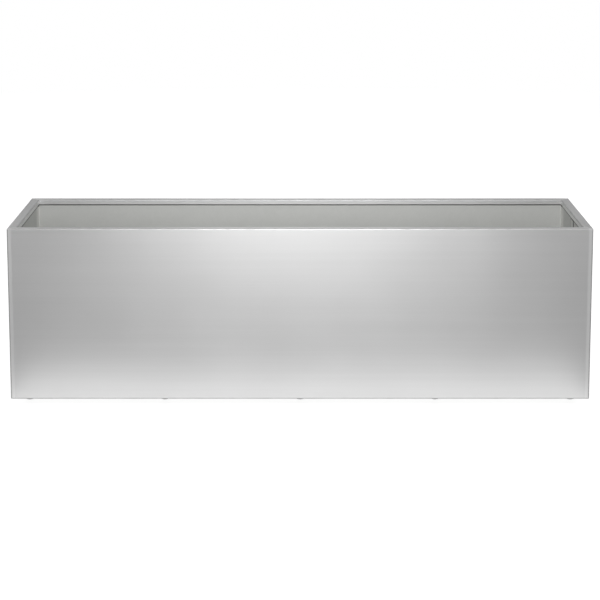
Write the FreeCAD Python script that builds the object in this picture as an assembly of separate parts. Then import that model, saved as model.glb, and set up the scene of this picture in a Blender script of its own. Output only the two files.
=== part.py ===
import FreeCAD, Part
import math
import os

# A long rectangular steel planter with two skins: plain outer panels with a folded rim, and an
# inner liner that holds the soil. It stands on ten screw-in feet under five base rails.
# X runs along the length, the front faces -Y and Z is up. The origin is on the ground below
# the middle of the planter. All sizes are in millimetres.

# Overall body
LENGTH = 1500.0  # outside, along X
DEPTH = 450.0  # outside, along Y
BODY_HEIGHT = 450.0  # bottom edge of the outer panels to the top of the rim
GROUND_GAP = 10.0  # ground to the bottom edge of the outer panels

# Outer panels
SKIN_SHEET = 1.5
SKIN_BEND = 1.5  # inside radius of the rim and bottom folds
RIM_WIDTH = 24.0  # outer face to the inner face of the lip
RIM_LIP = 13.0  # rim top to the bottom edge of the lip
BOTTOM_RETURN = 25.0  # outer face to the edge of the bottom fold
CORNER_RADIUS = 2.0  # dressed radius down each outside corner seam

# Angles behind the outside corner seams
ANGLE_SHEET = 2.0
ANGLE_BEND = 2.0
ANGLE_LEG = 15.0

# Liner
LINER_SHEET = 1.5
LINER_BEND = 4.0  # inside radius of the liner's corners
LINER_LIP_GAP = 2.0  # back of the lip to the liner
LINER_TOP_GAP = 0.3  # below the rim
LINER_JOINT_GAP = 1.0  # between the two ends of the liner sheet
FLOOR_SHEET = 2.0
DRAIN_DIAMETER = 20.0
DRAIN_SPACING = 200.0  # between the two rows of drain holes

# Strap over the liner's joint, with its rivets
STRAP_SHEET = 1.5
STRAP_WIDTH = 46.0
STRAP_TOP_GAP = 3.0  # below the rim
RIVET_DIAMETER = 3.2
RIVET_HEAD_DIAMETER = 6.5
RIVET_HEAD_HEIGHT = 0.9
RIVET_ROW_SPACING = 24.0
RIVET_COUNT = 4  # in each row
RIVET_TOP_GAP = 90.0  # rim to the top rivet
RIVET_FLOOR_GAP = 60.0  # liner floor to the bottom rivet

# Stiffeners between the skins
POST_SHEET = 2.0
POST_BEND = 2.0
POST_WEB = 40.0  # face against the liner
POST_FLANGE = 12.0  # each foot against the outer panel
POST_SPACING = 500.0  # between the two pairs

# Tie bars and their bolts
TIE_SHEET = 4.0
TIE_BEND = 4.0
TIE_WIDTH = 30.0
TIE_TAB = 50.0  # height of the bent ends
TIE_RISE = 260.0  # ground to the top of the bar
BOLT_DIAMETER = 6.0
BOLT_HEAD_FLATS = 10.0
BOLT_HEAD_HEIGHT = 4.0
BOLT_LENGTH = 16.0  # under the head
BOLT_FIRST_DROP = 18.0  # bar top to the upper bolt
BOLT_PITCH = 20.0
BOLT_NUT_FLATS = 10.0
BOLT_NUT_HEIGHT = 5.0
WASHER_DIAMETER = 12.0
WASHER_SHEET = 1.6

# Base rails
RAIL_COUNT = 5
RAIL_SHEET = 2.0
RAIL_BEND = 2.0
RAIL_DEPTH = 25.0  # overall height of the section
RAIL_WEB = 40.0
RAIL_FLANGE = 15.0
RAIL_END_GAP = 3.0  # to the outer panels

# Feet
FOOT_END_INSET = 44.0  # outer end face to the outermost feet
FOOT_SIDE_INSET = 44.0  # front or back face to the feet
PAD_DIAMETER = 25.0
PAD_HEIGHT = 5.0
PAD_ROUNDING = 1.0
PAD_SOLE = 1.5  # pad below the stud's head
STUD_DIAMETER = 8.0
STUD_HEAD_DIAMETER = 12.0
STUD_HEAD_HEIGHT = 2.0
STUD_COLLAR_FLATS = 13.0
STUD_THREAD = 22.0  # above the collar
STUD_TIP_CHAMFER = 1.0
FOOT_NUT_FLATS = 13.0
FOOT_NUT_HEIGHT = 6.5

# Clearances
RUNNING_GAP = 0.05  # round a turning stud or a rivet
COLLAR_GAP = 0.3  # stud's collar to the pad below it and to the rail above it
HOLE_GAP = 0.3  # round a bolt
OVERRUN = 5.0  # cuts past a face

# Heights and insets that follow from the sizes above
RIM_TOP = GROUND_GAP + BODY_HEIGHT
RIM_UNDERSIDE = RIM_TOP - SKIN_SHEET
RETURN_TOP = GROUND_GAP + SKIN_SHEET
UPRIGHT_BOTTOM = RETURN_TOP + SKIN_BEND  # angles and stiffeners stand clear of the folds
UPRIGHT_HEIGHT = RIM_UNDERSIDE - SKIN_BEND - UPRIGHT_BOTTOM
RAIL_TOP = RETURN_TOP + RAIL_DEPTH
FLOOR_TOP = RAIL_TOP + FLOOR_SHEET
LINER_FACE_INSET = RIM_WIDTH - SKIN_SHEET - LINER_LIP_GAP
LINER_BACK_INSET = LINER_FACE_INSET - LINER_SHEET
COLLAR_BOTTOM = PAD_HEIGHT + COLLAR_GAP
COLLAR_TOP = RETURN_TOP - COLLAR_GAP  # the feet are drawn screwed right in

UP = FreeCAD.Vector(0, 0, 1)
ALONG = FreeCAD.Vector(1, 0, 0)
ACROSS = FreeCAD.Vector(0, 1, 0)
HALF_TURN = 180.0  # degrees
QUARTER_TURN = 90.0
SIX_SIDES = 6


def point(x, y, z=0):
    """A place or a direction."""
    return FreeCAD.Vector(x, y, z)


def centred(count, spacing):
    """Places of count items, spacing apart, either side of zero."""
    return [(i - (count - 1) / 2) * spacing for i in range(count)]


def strip_side(path, shift, radius):
    """Edges along a path in the XY plane, shift to its left, with the path's corners rounded."""
    edges = []
    heading = (path[1] - path[0]).normalize()
    here = path[0] + UP.cross(heading) * shift
    for corner, after in zip(path[1:], path[2:]):
        ahead = (after - corner).normalize()
        turn = heading.getAngle(ahead)
        side = math.copysign(1, heading.cross(ahead).z)
        reach = radius * math.tan(turn / 2)
        bend_start = corner - heading * reach + UP.cross(heading) * shift
        bend_end = corner + ahead * reach + UP.cross(ahead) * shift
        inward = (ahead - heading).normalize()
        to_centre = inward * (radius / math.cos(turn / 2))
        bend_middle = corner + to_centre - inward * (radius - side * shift)
        edges.append(Part.LineSegment(here, bend_start).toShape())
        edges.append(Part.Arc(bend_start, bend_middle, bend_end).toShape())
        here = bend_end
        heading = ahead
    edges.append(Part.LineSegment(here, path[-1] + UP.cross(heading) * shift).toShape())
    return edges


def folded_sheet(path, sheet, inside_radius, length):
    """A sheet folded along a path through the middle of its thickness, and length long in Z."""
    radius = inside_radius + sheet / 2
    left = strip_side(path, sheet / 2, radius)
    right = strip_side(path, -sheet / 2, radius)
    start = Part.LineSegment(left[0].Vertexes[0].Point, right[0].Vertexes[0].Point).toShape()
    end = Part.LineSegment(left[-1].Vertexes[-1].Point, right[-1].Vertexes[-1].Point).toShape()
    outline = Part.Wire(Part.__sortEdges__(left + right + [start, end]))
    return Part.Face(outline).extrude(UP * length)


def stood_up(shape, along):
    """Stand a shape up, so that its X lies in the direction along, and its Y points up."""
    shape.Placement = FreeCAD.Placement(
        FreeCAD.Vector(), FreeCAD.Rotation(along, UP, along.cross(UP), "XYZ")
    )
    return shape


def moved(shape, offset, turn=0):
    """A copy of a shape turned about Z, in degrees, and then moved."""
    copy = shape.copy()
    copy.rotate(FreeCAD.Vector(), UP, turn)
    copy.translate(offset)
    return copy


def hexagon(flats, height, base, axis=UP):
    """A six-sided prism, flats wide between its flat sides."""
    radius = flats / 2 / math.cos(math.pi / SIX_SIDES)
    corners = [2 * math.pi * i / SIX_SIDES for i in range(SIX_SIDES + 1)]
    outline = Part.makePolygon([point(radius * math.cos(a), radius * math.sin(a)) for a in corners])
    prism = Part.Face(outline).extrude(UP * height)
    prism.Placement = FreeCAD.Placement(base, FreeCAD.Rotation(UP, axis))
    return prism


def save(name, shape):
    """Write one piece, or one group of like pieces."""
    shape.exportStep("parts/" + name + ".step")


# Outer skin


def mitred_plan(run, half_span):
    """The plan of one side of the outer skin: mitred ends and rounded outside corners."""
    reach = BOTTOM_RETURN + OVERRUN
    rounding = CORNER_RADIUS * (1 - math.cos(math.pi / 4))
    end = run / 2
    outer_right = point(end - CORNER_RADIUS, -half_span)
    outer_left = point(-end + CORNER_RADIUS, -half_span)
    seam_right = point(end - rounding, -half_span + rounding)
    seam_left = point(-end + rounding, -half_span + rounding)
    inner_right = point(end - reach, -half_span + reach)
    inner_left = point(-end + reach, -half_span + reach)
    bow = CORNER_RADIUS * math.sin(math.pi / 8)
    drop = CORNER_RADIUS * (1 - math.cos(math.pi / 8))
    bow_right = point(end - CORNER_RADIUS + bow, -half_span + drop)
    bow_left = point(-end + CORNER_RADIUS - bow, -half_span + drop)
    edges = [
        Part.LineSegment(outer_left, outer_right).toShape(),
        Part.Arc(outer_right, bow_right, seam_right).toShape(),
        Part.LineSegment(seam_right, inner_right).toShape(),
        Part.LineSegment(inner_right, inner_left).toShape(),
        Part.LineSegment(inner_left, seam_left).toShape(),
        Part.Arc(seam_left, bow_left, outer_left).toShape(),
    ]
    return Part.Face(Part.Wire(edges))


def outer_panel(run, half_span, turn):
    """One side of the outer skin, with its rim, lip and bottom return."""
    middle = SKIN_SHEET / 2
    path = [
        point(BOTTOM_RETURN, middle),
        point(middle, middle),
        point(middle, BODY_HEIGHT - middle),
        point(RIM_WIDTH - middle, BODY_HEIGHT - middle),
        point(RIM_WIDTH - middle, BODY_HEIGHT - RIM_LIP),
    ]
    sheet = stood_up(folded_sheet(path, SKIN_SHEET, SKIN_BEND, run), ACROSS)
    sheet.translate(point(-run / 2, -half_span, GROUND_GAP))
    block = mitred_plan(run, half_span).extrude(UP * (RIM_TOP + OVERRUN))
    return moved(sheet.common(block), FreeCAD.Vector(), turn)


def corner_angle(side_x, side_y):
    """An angle in one corner of the outer skin, from the bottom fold to the rim's fold."""
    inset = SKIN_SHEET + ANGLE_SHEET / 2
    x = LENGTH / 2 - inset
    y = DEPTH / 2 - inset
    leg = ANGLE_LEG - ANGLE_SHEET / 2
    path = [
        point(side_x * (x - leg), side_y * y),
        point(side_x * x, side_y * y),
        point(side_x * x, side_y * (y - leg)),
    ]
    angle = folded_sheet(path, ANGLE_SHEET, ANGLE_BEND, UPRIGHT_HEIGHT)
    return moved(angle, UP * UPRIGHT_BOTTOM)


# Liner


def drain_places():
    """Places of the drain holes, two between each pair of rails."""
    rails = rail_places()
    gaps = [(left + right) / 2 for left, right in zip(rails, rails[1:])]
    return [point(x, y) for x in gaps for y in centred(2, DRAIN_SPACING)]


def liner_floor():
    """The flat floor, with its drain holes."""
    length = LENGTH - 2 * LINER_BACK_INSET
    depth = DEPTH - 2 * LINER_BACK_INSET
    floor = Part.makeBox(length, depth, FLOOR_SHEET, point(-length / 2, -depth / 2, RAIL_TOP))
    bore = FLOOR_SHEET + 2 * OVERRUN
    drains = [
        Part.makeCylinder(DRAIN_DIAMETER / 2, bore, place + UP * (RAIL_TOP - OVERRUN))
        for place in drain_places()
    ]
    return floor.cut(drains)


def liner_band():
    """The liner's wall: one sheet bent round all four corners, its ends meeting at the right end."""
    middle = LINER_BACK_INSET + LINER_SHEET / 2
    x = LENGTH / 2 - middle
    y = DEPTH / 2 - middle
    end = LINER_JOINT_GAP / 2
    path = [point(x, end), point(x, y), point(-x, y), point(-x, -y), point(x, -y), point(x, -end)]
    height = RIM_UNDERSIDE - LINER_TOP_GAP - FLOOR_TOP
    band = folded_sheet(path, LINER_SHEET, LINER_BEND, height)
    return moved(band, UP * FLOOR_TOP).cut(rivet_holes() + bolt_holes())


def joint_strap():
    """The strap inside the liner's right end, over its joint."""
    x = LENGTH / 2 - LINER_FACE_INSET - STRAP_SHEET
    height = RIM_UNDERSIDE - STRAP_TOP_GAP - FLOOR_TOP
    strap = Part.makeBox(STRAP_SHEET, STRAP_WIDTH, height, point(x, -STRAP_WIDTH / 2, FLOOR_TOP))
    return strap.cut(rivet_holes())


def rivet_places():
    """Places of the strap's rivets on the strap's inner face."""
    x = LENGTH / 2 - LINER_FACE_INSET - STRAP_SHEET
    bottom = FLOOR_TOP + RIVET_FLOOR_GAP
    pitch = (RIM_TOP - RIVET_TOP_GAP - bottom) / (RIVET_COUNT - 1)
    rows = centred(2, RIVET_ROW_SPACING)
    return [point(x, y, bottom + i * pitch) for y in rows for i in range(RIVET_COUNT)]


def rivet_holes():
    """Cutters for the rivets' holes in the strap and the liner."""
    reach = STRAP_SHEET + LINER_SHEET + 2 * OVERRUN
    radius = RIVET_DIAMETER / 2 + RUNNING_GAP
    return [
        Part.makeCylinder(radius, reach, place - ALONG * OVERRUN, ALONG) for place in rivet_places()
    ]


def strap_rivets():
    """Rivets with a domed head on the strap and a flat tail behind the liner."""
    grip = STRAP_SHEET + LINER_SHEET
    half_width = RIVET_HEAD_DIAMETER / 2
    ball = (half_width ** 2 + RIVET_HEAD_HEIGHT ** 2) / (2 * RIVET_HEAD_HEIGHT)
    rivets = []
    for place in rivet_places():
        dome = Part.makeSphere(ball, place + ALONG * (ball - RIVET_HEAD_HEIGHT))
        blank = Part.makeCylinder(half_width, RIVET_HEAD_HEIGHT, place - ALONG * RIVET_HEAD_HEIGHT, ALONG)
        shank = Part.makeCylinder(RIVET_DIAMETER / 2, grip, place, ALONG)
        tail_base = place + ALONG * grip
        tail = Part.makeCylinder(half_width, RIVET_HEAD_HEIGHT, tail_base, ALONG)
        rivets.append(dome.common(blank).fuse([shank, tail]).removeSplitter())
    return Part.makeCompound(rivets)


# Stiffeners and tie bars


def post(x, side):
    """A stiffener of hat section between the skins, on the front (side -1) or the back (side 1)."""
    liner_face = DEPTH / 2 - LINER_BACK_INSET + POST_SHEET / 2
    skin_face = DEPTH / 2 - SKIN_SHEET - POST_SHEET / 2
    web = POST_WEB / 2 - POST_SHEET / 2
    flange = POST_WEB / 2 + POST_FLANGE
    path = [
        point(-flange, skin_face),
        point(-web, skin_face),
        point(-web, liner_face),
        point(web, liner_face),
        point(web, skin_face),
        point(flange, skin_face),
    ]
    hat = folded_sheet(path, POST_SHEET, POST_BEND, UPRIGHT_HEIGHT)
    turn = 0 if side > 0 else HALF_TURN
    return moved(hat, point(x, 0, UPRIGHT_BOTTOM), turn).cut(bolt_holes())


def tie_bar(x):
    """A flat bar across the liner, with both ends bent down against its long walls."""
    middle = TIE_SHEET / 2
    end = DEPTH / 2 - LINER_FACE_INSET - middle
    path = [
        point(-end, TIE_RISE - TIE_TAB),
        point(-end, TIE_RISE - middle),
        point(end, TIE_RISE - middle),
        point(end, TIE_RISE - TIE_TAB),
    ]
    bar = stood_up(folded_sheet(path, TIE_SHEET, TIE_BEND, TIE_WIDTH), ACROSS)
    return moved(bar, ALONG * (x - TIE_WIDTH / 2)).cut(bolt_holes())


def bolt_seats():
    """Each tie bolt's place on the inner face of a tie bar's bent end, and the way it points."""
    y = DEPTH / 2 - LINER_FACE_INSET - TIE_SHEET
    drops = [BOLT_FIRST_DROP, BOLT_FIRST_DROP + BOLT_PITCH]
    return [
        (point(x, side * y, TIE_RISE - drop), ACROSS * side)
        for x in centred(2, POST_SPACING)
        for side in (-1, 1)
        for drop in drops
    ]


def bolt_holes():
    """Cutters for the tie bolts' holes."""
    radius = BOLT_DIAMETER / 2 + HOLE_GAP
    reach = TIE_SHEET + LINER_SHEET + POST_SHEET + 2 * OVERRUN
    return [Part.makeCylinder(radius, reach, seat - out * OVERRUN, out) for seat, out in bolt_seats()]


def tie_bolts():
    """Hexagon bolts through the tie bars, the liner and the stiffeners."""
    bolts = []
    for seat, out in bolt_seats():
        head_face = seat - out * WASHER_SHEET
        head = hexagon(BOLT_HEAD_FLATS, BOLT_HEAD_HEIGHT, head_face - out * BOLT_HEAD_HEIGHT, out)
        shank = Part.makeCylinder(BOLT_DIAMETER / 2, BOLT_LENGTH, head_face, out)
        bolts.append(head.fuse(shank))
    return Part.makeCompound(bolts)


def tie_washers():
    """Flat washers under the bolts' heads."""
    washers = []
    for seat, out in bolt_seats():
        base = seat - out * WASHER_SHEET
        disc = Part.makeCylinder(WASHER_DIAMETER / 2, WASHER_SHEET, base, out)
        bore = Part.makeCylinder(BOLT_DIAMETER / 2 + HOLE_GAP, WASHER_SHEET, base, out)
        washers.append(disc.cut(bore))
    return Part.makeCompound(washers)


def tie_nuts():
    """Nuts welded inside the stiffeners for the tie bolts."""
    nuts = []
    for seat, out in bolt_seats():
        base = seat + out * (TIE_SHEET + LINER_SHEET + POST_SHEET)
        nut = hexagon(BOLT_NUT_FLATS, BOLT_NUT_HEIGHT, base, out)
        bore = Part.makeCylinder(BOLT_DIAMETER / 2 + RUNNING_GAP, BOLT_NUT_HEIGHT, base, out)
        nuts.append(nut.cut(bore))
    return Part.makeCompound(nuts)


# Base rails and feet


def rail_places():
    """Where the rails lie along the length. Each carries two feet."""
    spacing = (LENGTH - 2 * FOOT_END_INSET) / (RAIL_COUNT - 1)
    return centred(RAIL_COUNT, spacing)


def foot_rows():
    """The feet's distance from the middle, for the front row and the back row."""
    y = DEPTH / 2 - FOOT_SIDE_INSET
    return {"front": -y, "back": y}


def base_rail(x):
    """A rail of hat section on the bottom returns, open side up, with holes for two studs."""
    middle = RAIL_SHEET / 2
    web = RAIL_WEB / 2 - middle
    flange = RAIL_WEB / 2 + RAIL_FLANGE
    top = RAIL_DEPTH - middle
    path = [
        point(-flange, top),
        point(-web, top),
        point(-web, middle),
        point(web, middle),
        point(web, top),
        point(flange, top),
    ]
    half_length = DEPTH / 2 - SKIN_SHEET - RAIL_END_GAP
    rail = stood_up(folded_sheet(path, RAIL_SHEET, RAIL_BEND, 2 * half_length), ALONG)
    rail.translate(point(x, half_length, RETURN_TOP))
    radius = STUD_DIAMETER / 2 + HOLE_GAP
    reach = RAIL_SHEET + 2 * OVERRUN
    base = RETURN_TOP - OVERRUN
    holes = [Part.makeCylinder(radius, reach, point(x, y, base)) for y in foot_rows().values()]
    return rail.cut(holes)


def foot_nuts():
    """Nuts welded on the rails for the feet's studs."""
    base = RETURN_TOP + RAIL_SHEET
    radius = STUD_DIAMETER / 2 + RUNNING_GAP
    nuts = []
    for x in rail_places():
        for y in foot_rows().values():
            nut = hexagon(FOOT_NUT_FLATS, FOOT_NUT_HEIGHT, point(x, y, base))
            nuts.append(nut.cut(Part.makeCylinder(radius, FOOT_NUT_HEIGHT, point(x, y, base))))
    return Part.makeCompound(nuts)


def foot_pad():
    """A round pad that holds the stud's head, so that the stud can turn in it."""
    pad = Part.makeCylinder(PAD_DIAMETER / 2, PAD_HEIGHT)
    rims = [edge for edge in pad.Edges if isinstance(edge.Curve, Part.Circle)]
    pad = pad.makeFillet(PAD_ROUNDING, rims)
    pocket_base = point(0, 0, PAD_SOLE - RUNNING_GAP)
    pocket_height = STUD_HEAD_HEIGHT + 2 * RUNNING_GAP
    pocket = Part.makeCylinder(STUD_HEAD_DIAMETER / 2 + RUNNING_GAP, pocket_height, pocket_base)
    neck = Part.makeCylinder(STUD_DIAMETER / 2 + RUNNING_GAP, PAD_HEIGHT, pocket_base)
    return pad.cut([pocket, neck])


def foot_stud():
    """A stud with a round head in the pad, a collar for a spanner and a plain thread."""
    head = Part.makeCylinder(STUD_HEAD_DIAMETER / 2, STUD_HEAD_HEIGHT, point(0, 0, PAD_SOLE))
    collar = hexagon(STUD_COLLAR_FLATS, COLLAR_TOP - COLLAR_BOTTOM, point(0, 0, COLLAR_BOTTOM))
    top = COLLAR_TOP + STUD_THREAD
    radius = STUD_DIAMETER / 2
    shank = Part.makeCylinder(radius, top - PAD_SOLE, point(0, 0, PAD_SOLE))
    tip = [edge for edge in shank.Edges if edge.BoundBox.ZMin > top - STUD_TIP_CHAMFER]
    shank = shank.makeChamfer(STUD_TIP_CHAMFER, tip)
    return shank.fuse([head, collar]).removeSplitter()


# The whole planter


def build():
    """Write every piece in its place."""
    os.makedirs("parts", exist_ok=True)
    save("front_panel", outer_panel(LENGTH, DEPTH / 2, 0))
    save("back_panel", outer_panel(LENGTH, DEPTH / 2, HALF_TURN))
    save("left_end_panel", outer_panel(DEPTH, LENGTH / 2, -QUARTER_TURN))
    save("right_end_panel", outer_panel(DEPTH, LENGTH / 2, QUARTER_TURN))
    for row, side_y in (("front", -1), ("back", 1)):
        for end, side_x in (("left", -1), ("right", 1)):
            save("corner_angle_" + row + "_" + end, corner_angle(side_x, side_y))
            save("wall_stiffener_" + row + "_" + end, post(side_x * POST_SPACING / 2, side_y))
    save("liner_band", liner_band())
    save("liner_floor", liner_floor())
    save("liner_joint_strap", joint_strap())
    save("strap_rivets", strap_rivets())
    save("tie_bar_left", tie_bar(-POST_SPACING / 2))
    save("tie_bar_right", tie_bar(POST_SPACING / 2))
    save("tie_bolts", tie_bolts())
    save("tie_washers", tie_washers())
    save("tie_weld_nuts", tie_nuts())
    save("foot_weld_nuts", foot_nuts())
    pad = foot_pad()
    stud = foot_stud()
    for number, x in enumerate(rail_places(), start=1):
        save("base_rail_" + str(number), base_rail(x))
        for row, y in foot_rows().items():
            save(row + "_foot_pad_" + str(number), moved(pad, point(x, y)))
            save(row + "_foot_stud_" + str(number), moved(stud, point(x, y)))


build()
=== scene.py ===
import math

import bpy
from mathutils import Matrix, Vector

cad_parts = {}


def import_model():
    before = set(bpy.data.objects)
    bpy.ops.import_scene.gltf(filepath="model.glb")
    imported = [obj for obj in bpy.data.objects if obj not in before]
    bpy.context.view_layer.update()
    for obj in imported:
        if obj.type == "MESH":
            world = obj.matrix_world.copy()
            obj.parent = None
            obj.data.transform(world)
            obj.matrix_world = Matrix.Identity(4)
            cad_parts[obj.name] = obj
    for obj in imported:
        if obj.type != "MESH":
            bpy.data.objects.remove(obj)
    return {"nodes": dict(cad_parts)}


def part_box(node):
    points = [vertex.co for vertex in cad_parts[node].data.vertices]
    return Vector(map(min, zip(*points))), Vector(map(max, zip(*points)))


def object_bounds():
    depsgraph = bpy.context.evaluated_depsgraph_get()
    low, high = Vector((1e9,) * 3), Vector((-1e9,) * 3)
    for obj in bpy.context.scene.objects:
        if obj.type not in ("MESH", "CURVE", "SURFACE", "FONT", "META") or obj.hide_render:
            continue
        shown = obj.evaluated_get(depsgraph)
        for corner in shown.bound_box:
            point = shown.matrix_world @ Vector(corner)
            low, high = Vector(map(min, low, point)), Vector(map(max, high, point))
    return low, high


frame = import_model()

cad_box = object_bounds()

# The planter stands at the origin, its front faces -Y and Z is up. Lengths are in metres.
HALF_LENGTH = cad_box[1].x
HALF_DEPTH = cad_box[1].y
TOP = cad_box[1].z
SOLE = cad_box[0].z
BOTTOM_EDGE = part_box("front_panel")[0].z
RIM_WIDTH = 0.024
LIP_BOTTOM = TOP - 0.013
FEET_TRAVEL = 0.012

# The camera, fitted to the corners of the planter in the photo
CAMERA_PLACE = (0, -4.851, 1.354)
CAMERA_PITCH = 9.424  # degrees below level
CAMERA_LENS = 110.61
CAMERA_SENSOR = 36
CAMERA_SHIFT = -0.2  # keeps the uprights nearly parallel

# The stage. A level of 1 is white.
ROUND_SIDES = 48  # of the floor and the wall
FLOOR_RADIUS = 7.0
FLOOR_LEVEL = SOLE - FEET_TRAVEL  # clear of the feet when they are screwed right out
FLOOR_SEEN = 0.88  # the floor's own white
FLOOR_TONE = 0.24  # the floor's part that takes light and shadow
WALL_HEIGHT = 4.0
WALL_LEVEL = 0.24
WORLD_LEVEL = 1.0
WHITE = (1, 1, 1, 1)

# What the metal mirrors of the floor: a level for each part, and where the part ends
NEAR_MIRRORED = 0.82  # close to the planter
NEAR_FRONT_REACH = 0.345  # from its front and back
NEAR_END_REACH = 0.03  # from its ends
NEAR_FADE = 0.06
GROUND_FRONT = 0.09  # further off, before the planter
GROUND_BEHIND = 0.45  # further off, beside and behind it
RUN_MIRRORED = 1.0  # a white run towards the camera
RUN_START = -1.5
RUN_HALF_WIDTH = 0.5
RUN_FADE = 0.5

# Lamps: where each one stands, what it points at, its width, its height and its power
BELOW_RIM = (0, 0, 0.4)
UPPER_BODY = (0, 0, 0.3)
LAMPS = {
    "front_key": ((0, -2.2, 1.3), BELOW_RIM, 0.6, 0.4, 21.0),
    "front_low": ((0, -2.2, 0.8), BELOW_RIM, 0.6, 0.4, 6.0),
    "back_high": ((0, 3.6, 1.6), BELOW_RIM, 1.2, 0.6, 2.0),
    "end_left": ((-3.4, 0, 1.1), BELOW_RIM, 0.5, 0.5, 5.0),
    "end_right": ((3.4, 0, 1.1), BELOW_RIM, 0.5, 0.5, 5.0),
    "corner_front_left": ((-2.6, -2.6, 0.5), UPPER_BODY, 0.9, 0.5, 3.0),
    "corner_front_right": ((2.6, -2.6, 0.5), UPPER_BODY, 0.9, 0.5, 3.0),
    "corner_back_left": ((-2.6, 2.6, 0.5), UPPER_BODY, 0.9, 0.5, 7.0),
    "corner_back_right": ((2.6, 2.6, 0.5), UPPER_BODY, 0.9, 0.5, 7.0),
}

# Every material
MASK_EDGE = 0.001  # width over which a mark fades out
METAL = 1.0
NOT_METAL = 0.0

# Brushed sheet
GRAIN_LENGTH = 0.33
GRAIN_WIDTH = 0.0011
STREAK_LENGTH = 1.2
STREAK_WIDTH = 0.011
DRESSING_LENGTH = 0.12  # upright grain of a dressed weld
SHEET_CLOUD = 0.25
WELD_WIDTH = 0.012  # dressed strip beside each outside corner
WELD_WANDER = 0.002
MITRE_WIDTH = 0.004  # half the dressed strip across the rim's corners
LIP_SKIN = 0.0025  # the lip is duller than the face
EDGE_CORE = 0.0015  # a bend is fully dulled up to here
EDGE_REACH = 0.0042  # and not at all from here
PATCH_SIZE = 0.03  # wear on the bends comes in patches
PATCH_LOW, PATCH_HIGH = 0.3, 0.7  # the noise at the least and the most wear
LEAST_WEAR = 0.75
SHEET_DARK = (0.66, 0.66, 0.66)
SHEET_LIGHT = (0.78, 0.78, 0.78)
SHEET_WORN = (0.38, 0.38, 0.38)
SHEET_ROUGHNESS = 0.30
SHEET_BUMP = 0.00004

# Plain zinc
CRYSTAL = 0.012
SMALL_CRYSTAL = 0.0053
ZINC_CLOUD = 0.14
ZINC_BLOOM = 0.022
ZINC_DARK = (0.58, 0.585, 0.57)
ZINC_LIGHT = (0.67, 0.675, 0.66)
ZINC_ROUGHNESS = 0.54
ZINC_BUMP = 0.0001

# The liner's painted shade and painted highlight on its zinc, and a dark line at its joint strap
END_WALL_SKIN = 0.004  # depth of an end wall with its strap
END_WALL_PAINTED_SHADE = 0.5  # how far painted shade darkens the end walls
STRAP_PAINTED_SHADE = 0.2  # and the joint strap on the right one, which takes less of the painted shade
STRAP_EDGE_LINE_WIDTH = 0.008  # width of a dark line over each edge of the joint strap
CORNER_LIGHT_REACH = 0.06  # length over which a painted highlight makes an end wall lighter towards its corners
PAINTED_SHADE_HEIGHT = 0.0036  # painted shade: a dark line on the liner just below the rim's lip
# the painted shade below the lip reaches further down on the end walls
END_PAINTED_SHADE_HEIGHT = 0.007
PAINTED_SHADE_FADE = 0.15  # share of its height
# Colours of the painted shade on the end walls, the painted highlight at their corners, the
# strap's edge line and the painted shade under the lip
LINER_SHADED = (0.40, 0.405, 0.39)
LINER_PAINTED_LIGHT = (0.74, 0.74, 0.72)
LINER_STRAP_EDGE_DARK = (0.24, 0.24, 0.235)
LINER_PAINTED_SHADE = (0.16, 0.16, 0.155)

# Zinc plate
PLATE_FILM = 0.006
PLATE_GRAIN = 0.0011
PLATE_BLUE = (0.56, 0.58, 0.62)
PLATE_YELLOW = (0.68, 0.67, 0.62)
PLATE_ROUGHNESS = 0.24
PLATE_BUMP = 0.00005
PLATED_WORDS = ("stud", "bolts", "nuts", "washers", "rivets")

# Nylon
NYLON_SKIN = 0.0006
NYLON_CLOUD = 0.011
NYLON_DARK = (0.016, 0.016, 0.017)
NYLON_LIGHT = (0.034, 0.034, 0.035)
NYLON_ROUGHNESS = 0.46
NYLON_BUMP = 0.00012


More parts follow.
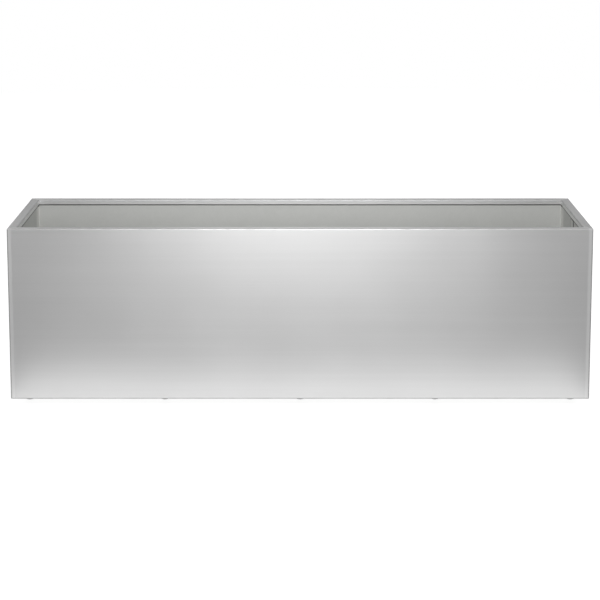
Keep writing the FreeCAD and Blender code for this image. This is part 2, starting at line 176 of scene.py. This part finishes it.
class Shader:
    """Builds one material's nodes."""

    def __init__(self, name):
        self.material = bpy.data.materials.new(name)
        self.material.use_nodes = True
        self.tree = self.material.node_tree
        self.tree.nodes.clear()
        self.output = self.node("OutputMaterial")

    def node(self, kind, **settings):
        """A new node with its settings."""
        made = self.tree.nodes.new("ShaderNode" + kind)
        for name, value in settings.items():
            setattr(made, name, value)
        return made

    def feed(self, socket, value):
        """Links an output to a socket, or sets the socket to a constant."""
        if isinstance(value, bpy.types.NodeSocket):
            self.tree.links.new(value, socket)
        else:
            socket.default_value = value

    def axes(self):
        """The place on the object as three numbers."""
        split = self.node("SeparateXYZ")
        self.feed(split.inputs[0], self.node("TexCoord").outputs["Object"])
        return split.outputs

    def place(self, size):
        """The place on the object, counted in lengths of a size for all axes or for each."""
        lengths = size if isinstance(size, tuple) else (size, size, size)
        mapping = self.node("Mapping")
        self.feed(mapping.inputs["Vector"], self.node("TexCoord").outputs["Object"])
        mapping.inputs["Scale"].default_value = [1 / length for length in lengths]
        return mapping.outputs["Vector"]

    def noise(self, size, detail=2.0, roughness=0.5):
        """Soft noise whose lumps are about as large as the size."""
        made = self.node("TexNoise")
        self.feed(made.inputs["Vector"], self.place(size))
        made.inputs["Scale"].default_value = 1.0
        made.inputs["Detail"].default_value = detail
        made.inputs["Roughness"].default_value = roughness
        return made.outputs["Fac"]

    def cells(self, size):
        """A random number for each crystal of the zinc."""
        made = self.node("TexVoronoi", feature="F1")
        self.feed(made.inputs["Vector"], self.place(size))
        made.inputs["Scale"].default_value = 1.0
        split = self.node("SeparateColor")
        self.feed(split.inputs[0], made.outputs["Color"])
        return split.outputs[0]

    def math(self, operation, *values):
        """The result of one sum, such as ADD or MULTIPLY."""
        made = self.node("Math", operation=operation)
        for socket, value in zip(made.inputs, values):
            self.feed(socket, value)
        return made.outputs[0]

    def inset(self, half, value):
        """How far a value lies inside the ends of a width, given half that width."""
        return self.math("SUBTRACT", half, self.math("ABSOLUTE", value))

    def apart(self, value, other):
        """How far two values are apart."""
        return self.math("ABSOLUTE", self.math("SUBTRACT", value, other))

    def both(self, mask, other):
        """One where two masks are one."""
        return self.math("MULTIPLY", mask, other)

    def most(self, *values):
        """The largest of several values."""
        largest = values[0]
        for value in values[1:]:
            largest = self.math("MAXIMUM", largest, value)
        return largest

    def weigh(self, start, *pairs):
        """A starting value, plus each value times its weight."""
        total = start
        for value, weight in pairs:
            total = self.math("MULTIPLY_ADD", value, weight, total)
        return total

    def span(self, value, low, high, to_low=0.0, to_high=1.0):
        """Carries a value from one range to another, and holds it at the ends."""
        made = self.node("MapRange", interpolation_type="SMOOTHSTEP")
        for socket, number in zip(made.inputs, (value, low, high, to_low, to_high)):
            self.feed(socket, number)
        return made.outputs[0]

    def choose(self, mask, value, other):
        """A value where a mask is zero, and another where it is one."""
        return self.span(mask, 0.0, 1.0, value, other)

    def within(self, distance, reach, fade):
        """One where a distance is less than a reach, and zero past it."""
        return self.span(distance, reach - fade / 2, reach + fade / 2, 1.0, 0.0)

    def edge(self, distance, other):
        """One along the line where two distances are both small."""
        return self.span(self.most(distance, other), EDGE_CORE, EDGE_REACH, 1.0, 0.0)

    def colour(self, factor, first, second):
        """A mix of two colours, each one an output or three numbers."""
        made = self.node("Mix", data_type="RGBA")
        self.feed(made.inputs[0], factor)
        # A Mix node has sockets for each kind of data, and these are the ones for colours
        for socket, value in zip(made.inputs[6:8], (first, second)):
            self.feed(socket, value if isinstance(value, bpy.types.NodeSocket) else (*value, 1))
        return made.outputs[2]

    def bump(self, height, distance, strength):
        """The normal of a surface with a fine relief."""
        made = self.node("Bump")
        made.inputs["Strength"].default_value = strength
        made.inputs["Distance"].default_value = distance
        self.feed(made.inputs["Height"], height)
        return made.outputs["Normal"]

    def surface(self, colour, roughness, normal, metallic):
        """Ends the material with its surface."""
        made = self.node("BsdfPrincipled")
        self.feed(made.inputs["Base Color"], colour)
        self.feed(made.inputs["Roughness"], roughness)
        self.feed(made.inputs["Normal"], normal)
        made.inputs["Metallic"].default_value = metallic
        self.feed(self.output.inputs["Surface"], made.outputs[0])
        return self.material


def brushed_sheet(name, along_x):
    """Satin sheet brushed along its length, with dressed welds at its ends and dulled bends."""
    s = Shader(name)
    x, y, z = s.axes()
    if along_x:
        along, across, half_along, half_across = x, y, HALF_LENGTH, HALF_DEPTH
        grain_size = (GRAIN_LENGTH, GRAIN_WIDTH, GRAIN_WIDTH)
        streak_size = (STREAK_LENGTH, STREAK_WIDTH, STREAK_WIDTH)
    else:
        along, across, half_along, half_across = y, x, HALF_DEPTH, HALF_LENGTH
        grain_size = (GRAIN_WIDTH, GRAIN_LENGTH, GRAIN_WIDTH)
        streak_size = (STREAK_WIDTH, STREAK_LENGTH, STREAK_WIDTH)
    from_end = s.inset(half_along, along)
    from_face = s.inset(half_across, across)
    from_top = s.math("SUBTRACT", TOP, z)
    from_hem = s.math("SUBTRACT", z, BOTTOM_EDGE)
    from_lip = s.apart(from_face, RIM_WIDTH)
    from_mitre = s.apart(from_end, from_face)

    wander = s.noise(PATCH_SIZE, detail=1.0)
    seam = s.within(s.weigh(from_end, (wander, WELD_WANDER)), WELD_WIDTH, MASK_EDGE)
    on_rim = s.within(from_top, EDGE_REACH, MASK_EDGE)
    mitre = s.both(on_rim, s.within(from_mitre, MITRE_WIDTH, MASK_EDGE))
    weld = s.most(seam, mitre)

    brushing = s.noise(grain_size, detail=3.0, roughness=0.6)
    dressing_size = (GRAIN_WIDTH, GRAIN_WIDTH, DRESSING_LENGTH)
    dressing = s.noise(dressing_size, detail=3.0, roughness=0.6)
    grain = s.choose(weld, brushing, dressing)
    streak = s.noise(streak_size)
    cloud = s.noise(SHEET_CLOUD)
    bends = s.most(
        s.edge(from_top, from_face),
        s.edge(from_top, from_lip),
        s.edge(from_hem, from_face),
        s.edge(from_end, from_face),
    )
    patches = s.span(s.noise(PATCH_SIZE, detail=3.0), PATCH_LOW, PATCH_HIGH, LEAST_WEAR, 1.0)
    worn = s.both(bends, patches)
    lip = s.within(from_lip, LIP_SKIN, MASK_EDGE)

    tone = s.weigh(0.0, (grain, 0.30), (streak, 0.30), (cloud, 0.40), (weld, 0.50))
    brushed = s.colour(tone, SHEET_DARK, SHEET_LIGHT)
    colour = s.colour(worn, brushed, SHEET_WORN)
    roughness = s.weigh(
        SHEET_ROUGHNESS, (grain, 0.08), (cloud, 0.05), (weld, 0.05), (worn, 0.06), (lip, 0.07)
    )
    return s.surface(colour, roughness, s.bump(grain, SHEET_BUMP, 0.4), METAL)


def liner_painted_light_and_marks(s, zinc):
    """The liner's colour: end walls darkened by painted shade, a painted highlight towards their
    corners, a dark line over the strap's edges and a line of painted shade below the lip.
    """
    x, y, z = s.axes()
    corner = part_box("liner_band")[1]
    half_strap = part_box("liner_joint_strap")[1].y
    off_middle = s.math("ABSOLUTE", y)
    on_end = s.within(s.inset(corner.x, x), END_WALL_SKIN, MASK_EDGE)
    on_right = s.both(on_end, s.span(x, 0.0, MASK_EDGE))
    strap = s.both(on_right, s.within(off_middle, half_strap, MASK_EDGE))
    # painted shade: the end walls are darker, and the strap on the right one less so
    end_wall_shade = s.weigh(0.0, (on_end, END_WALL_PAINTED_SHADE), (strap, STRAP_PAINTED_SHADE - END_WALL_PAINTED_SHADE))
    # painted highlight: each end wall grows lighter towards its corners
    corner_light = s.both(on_end, s.span(s.inset(corner.y, y), 0.0, CORNER_LIGHT_REACH, 1.0, 0.0))
    # a dark line over each edge of the joint strap
    from_strap_edge = s.apart(off_middle, half_strap)
    strap_edge_line = s.both(on_right, s.within(from_strap_edge, STRAP_EDGE_LINE_WIDTH / 2, MASK_EDGE))
    # painted shade: a dark line just below the rim's lip, taller on the end walls
    shade_height = s.weigh(PAINTED_SHADE_HEIGHT, (on_end, END_PAINTED_SHADE_HEIGHT - PAINTED_SHADE_HEIGHT))
    below_lip = s.math("DIVIDE", s.math("SUBTRACT", LIP_BOTTOM, z), shade_height)
    under_lip_shade = s.span(below_lip, 1 - PAINTED_SHADE_FADE, 1 + PAINTED_SHADE_FADE, 1.0, 0.0)
    colour = s.colour(end_wall_shade, zinc, LINER_SHADED)
    colour = s.colour(corner_light, colour, LINER_PAINTED_LIGHT)
    colour = s.colour(strap_edge_line, colour, LINER_STRAP_EDGE_DARK)
    return s.colour(under_lip_shade, colour, LINER_PAINTED_SHADE)


def plain_zinc(name, liner=False):
    """Dull hot-dip zinc with its crystals faintly showing. The liner gets painted shade and a
    painted highlight of its own.
    """
    s = Shader(name)
    crystal = s.cells(CRYSTAL)
    small = s.cells(SMALL_CRYSTAL)
    cloud = s.noise(ZINC_CLOUD, detail=3.0)
    bloom = s.noise(ZINC_BLOOM, detail=4.0, roughness=0.6)
    tone = s.weigh(0.0, (crystal, 0.20), (small, 0.10), (cloud, 0.40), (bloom, 0.30))
    colour = s.colour(tone, ZINC_DARK, ZINC_LIGHT)
    if liner:
        colour = liner_painted_light_and_marks(s, colour)
    roughness = s.weigh(ZINC_ROUGHNESS, (crystal, 0.08), (bloom, 0.10))
    height = s.weigh(bloom, (crystal, 0.3))
    return s.surface(colour, roughness, s.bump(height, ZINC_BUMP, 0.2), METAL)


def plated_steel(name):
    """Bright zinc plate with a faint passivated tint."""
    s = Shader(name)
    film = s.noise(PLATE_FILM, detail=3.0)
    grain = s.noise(PLATE_GRAIN)
    colour = s.colour(film, PLATE_BLUE, PLATE_YELLOW)
    roughness = s.weigh(PLATE_ROUGHNESS, (grain, 0.16))
    return s.surface(colour, roughness, s.bump(grain, PLATE_BUMP, 0.4), METAL)


def nylon(name):
    """Black moulded nylon with a fine spark-eroded skin."""
    s = Shader(name)
    skin = s.noise(NYLON_SKIN, detail=3.0, roughness=0.6)
    cloud = s.noise(NYLON_CLOUD)
    colour = s.colour(cloud, NYLON_DARK, NYLON_LIGHT)
    roughness = s.weigh(NYLON_ROUGHNESS, (skin, 0.2))
    return s.surface(colour, roughness, s.bump(skin, NYLON_BUMP, 0.5), NOT_METAL)


def dress():
    """Gives every node its material."""
    long_sheet = brushed_sheet("brushed_sheet_long", along_x=True)
    end_sheet = brushed_sheet("brushed_sheet_end", along_x=False)
    zinc = plain_zinc("plain_zinc")
    # the liner's zinc carries painted shade and a painted highlight
    liner_zinc_painted_light = plain_zinc("liner_zinc_painted_light", liner=True)
    plate = plated_steel("zinc_plate")
    pad = nylon("foot_nylon")
    for name, piece in frame["nodes"].items():
        if name in ("front_panel", "back_panel"):
            material = long_sheet
        elif name in ("left_end_panel", "right_end_panel"):
            material = end_sheet
        elif "foot_pad" in name:
            material = pad
        elif any(word in name for word in PLATED_WORDS):
            material = plate
        elif name in ("liner_band", "liner_joint_strap"):
            material = liner_zinc_painted_light
        else:
            material = zinc
        for slot in piece.material_slots:
            slot.material = material


def stage_sheet(name, places, faces, material):
    """A sheet of the stage. It glows where a ray meets it, and isn't sampled as a lamp."""
    mesh = bpy.data.meshes.new(name)
    mesh.from_pydata(places, [], faces)
    mesh.materials.append(material)
    material.cycles.emission_sampling = "NONE"
    made = bpy.data.objects.new(name, mesh)
    bpy.context.scene.collection.objects.link(made)
    return made


def round_places(radius, z):
    """Points evenly round the middle of the stage."""
    turns = [2 * math.pi * side / ROUND_SIDES for side in range(ROUND_SIDES)]
    return [(radius * math.cos(turn), radius * math.sin(turn), z) for turn in turns]


def mirrored_floor(s):
    """How light the floor looks in the metal, by its place."""
    x, y = s.axes()[:2]
    off_x = s.math("ABSOLUTE", x)
    off_y = s.math("ABSOLUTE", y)
    near = s.both(
        s.within(off_x, HALF_LENGTH + NEAR_END_REACH, NEAR_FADE),
        s.within(off_y, HALF_DEPTH + NEAR_FRONT_REACH, NEAR_FADE),
    )
    behind = s.span(y, -HALF_DEPTH - NEAR_FADE, -HALF_DEPTH)
    run = s.both(
        s.within(off_x, RUN_HALF_WIDTH, RUN_FADE),
        s.span(y, RUN_START - RUN_FADE, RUN_START + RUN_FADE, 1.0, 0.0),
    )
    ground = s.choose(behind, GROUND_FRONT, GROUND_BEHIND)
    far = s.choose(run, ground, RUN_MIRRORED)
    return s.choose(near, far, NEAR_MIRRORED)


def floor():
    """A white floor that takes the planter's shadow. The metal mirrors it as grey further off."""
    s = Shader("floor_white")
    path = s.node("LightPath").outputs
    seen = s.most(path["Is Camera Ray"], path["Is Transmission Ray"])
    white = s.math("MULTIPLY", seen, FLOOR_SEEN)
    lit = s.node("BsdfDiffuse")
    lit.inputs["Color"].default_value = (FLOOR_TONE, FLOOR_TONE, FLOOR_TONE, 1)
    glow = s.node("Emission")
    s.feed(glow.inputs["Strength"], s.weigh(white, (path["Is Glossy Ray"], mirrored_floor(s))))
    both = s.node("AddShader")
    s.feed(both.inputs[0], lit.outputs[0])
    s.feed(both.inputs[1], glow.outputs[0])
    s.feed(s.output.inputs["Surface"], both.outputs[0])
    places = round_places(FLOOR_RADIUS, FLOOR_LEVEL)
    stage_sheet("floor", places, [range(ROUND_SIDES)], s.material)


def wall():
    """The low grey wall of the room, which shows only in the metal."""
    s = Shader("studio_wall")
    glow = s.node("Emission")
    glow.inputs["Strength"].default_value = WALL_LEVEL
    s.feed(s.output.inputs["Surface"], glow.outputs[0])
    places = round_places(FLOOR_RADIUS, FLOOR_LEVEL) + round_places(FLOOR_RADIUS, WALL_HEIGHT)
    faces = []
    for side in range(ROUND_SIDES):
        beside = (side + 1) % ROUND_SIDES
        faces.append((side, beside, ROUND_SIDES + beside, ROUND_SIDES + side))
    made = stage_sheet("studio_wall", places, faces, s.material)
    made.visible_camera = False


def world():
    """An even white sky."""
    made = bpy.data.worlds.new("studio")
    made.use_nodes = True
    back = made.node_tree.nodes["Background"]
    back.inputs["Color"].default_value = WHITE
    back.inputs["Strength"].default_value = WORLD_LEVEL
    bpy.context.scene.world = made


def lamps():
    """Soft lamps round the planter, which the camera doesn't see."""
    for name, (place, target, width, height, power) in LAMPS.items():
        data = bpy.data.lights.new(name, "AREA")
        data.shape = "RECTANGLE"
        data.size = width
        data.size_y = height
        data.energy = power
        made = bpy.data.objects.new(name, data)
        bpy.context.scene.collection.objects.link(made)
        made.location = place
        towards = Vector(target) - Vector(place)
        made.rotation_euler = towards.to_track_quat("-Z", "Y").to_euler()
        made.visible_camera = False


def camera():
    """The photo's camera, tilted a little so that less lens shift is needed."""
    data = bpy.data.cameras.new("camera")
    data.sensor_width = CAMERA_SENSOR
    data.lens = CAMERA_LENS
    data.shift_y = CAMERA_SHIFT
    made = bpy.data.objects.new("camera", data)
    bpy.context.scene.collection.objects.link(made)
    made.location = CAMERA_PLACE
    made.rotation_euler = (math.radians(90 - CAMERA_PITCH), 0, 0)
    bpy.context.scene.camera = made


dress()
floor()
wall()
world()
lamps()
camera()
bpy.context.scene.view_settings.view_transform = "Standard"
